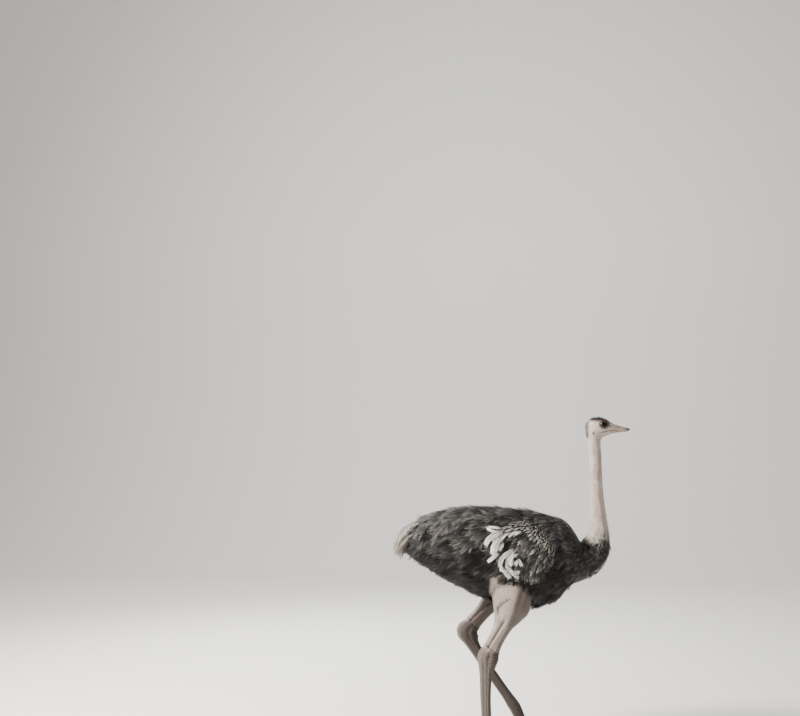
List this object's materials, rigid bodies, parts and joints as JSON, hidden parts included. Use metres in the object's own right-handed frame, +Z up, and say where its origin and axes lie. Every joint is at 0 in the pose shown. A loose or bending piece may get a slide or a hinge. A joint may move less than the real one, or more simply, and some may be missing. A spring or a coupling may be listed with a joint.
{
  "type": "ostrich",
  "caption": "Still life-size cock ostrich in mid walk, standing on one foot with the other drawn up on its toe tip, neck upright, black body plumage and white plumes.",
  "frame": {"origin": "middle of the whole model's base, on the floor", "axes": "+Z up, +X the way the bird walks and looks, +Y to its left"},
  "size_m": [1.3494, 0.5742, 1.9073],
  "materials": {
    "black_plumage": "loose matt feathers",
    "white_plumage": "loose matt feathers",
    "bare_skin": "soft bare skin with sparse down",
    "scaly_skin": "scaly skin, satin",
    "bill_horn": "horn, satin",
    "claw_horn": "horn, satin",
    "eye": "glossy wet eye"
  },
  "bodies": {
    "root": {"bill_lower": "bill_horn", "bill_upper": "bill_horn", "claw_left": "claw_horn", "claw_right": "claw_horn", "eye_left": "eye", "eye_right": "eye", "head": "bare_skin", "lower_plumes_left": "white_plumage", "lower_plumes_right": "white_plumage", "neck": "bare_skin", "shank_left": "scaly_skin", "shank_right": "scaly_skin", "tail": "white_plumage", "thigh_left": "bare_skin", "thigh_right": "bare_skin", "toe_inner_left": "scaly_skin", "toe_inner_right": "scaly_skin", "toe_outer_left": "scaly_skin", "toe_outer_right": "scaly_skin", "trunk": "black_plumage", "upper_plumes_left": "white_plumage", "upper_plumes_right": "white_plumage", "wing_left": "black_plumage", "wing_right": "black_plumage"}
  },
  "joints": []
}
